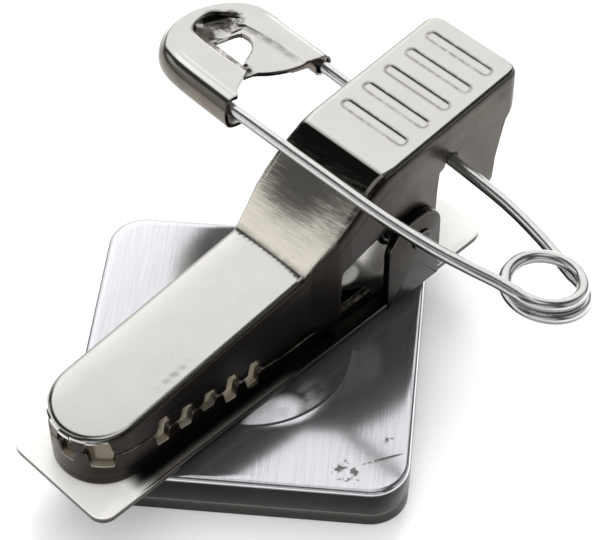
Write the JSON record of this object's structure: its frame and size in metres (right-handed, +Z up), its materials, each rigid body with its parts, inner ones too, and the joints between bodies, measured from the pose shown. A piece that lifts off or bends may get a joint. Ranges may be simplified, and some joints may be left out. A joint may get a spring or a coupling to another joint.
{
  "type": "swivel badge clip",
  "caption": "Sprung crocodile clip with a safety pin through its thumb lever, on a square base that it turns on.",
  "frame": {"origin": "swivel axis on the underside of the base", "axes": "+Z up along the swivel axis, +X along the clip towards the tip of its jaws, +Y towards the coil of the safety pin"},
  "size_m": [0.0386, 0.0371, 0.0179],
  "materials": {
    "nickel_sheet": "bright nickel plate",
    "nickel_wire": "bright nickel plate",
    "base_metal": "brushed nickel plate",
    "core_metal": "dark satin",
    "spring_steel": "plain spring wire"
  },
  "bodies": {
    "base": {"base_core": "core_metal", "base_cover": "base_metal"},
    "clip": {"swivel_rivet": "nickel_sheet", "back_plate": "nickel_sheet", "lower_jaw": "nickel_sheet", "hinge_pin": "spring_steel", "spring": "spring_steel"},
    "lever": {"upper_lever": "nickel_sheet"},
    "pin": {"pin_wire": "nickel_wire", "pin_cap": "nickel_sheet"}
  },
  "joints": [
    {"name": "swivel", "type": "hinge", "parent": "base", "child": "clip", "pos_m": [0, 0, 0], "axis": [0, 0, 1], "continuous": true},
    {"name": "jaw", "type": "hinge", "parent": "clip", "child": "lever", "pos_m": [-0.0114, 0, 0.0092], "axis": [0, -1, 0], "range_deg": [0, 24], "stiffness_Nm_per_rad": 0.06, "springref_deg": -20.05, "deforming": ["spring"]},
    {"name": "pin_swing", "type": "hinge", "parent": "lever", "child": "pin", "pos_m": [-0.0148, 0, 0.0139], "axis": [-0.0444, -0.999, -0.0094], "range_deg": [0, 210]}
  ]
}
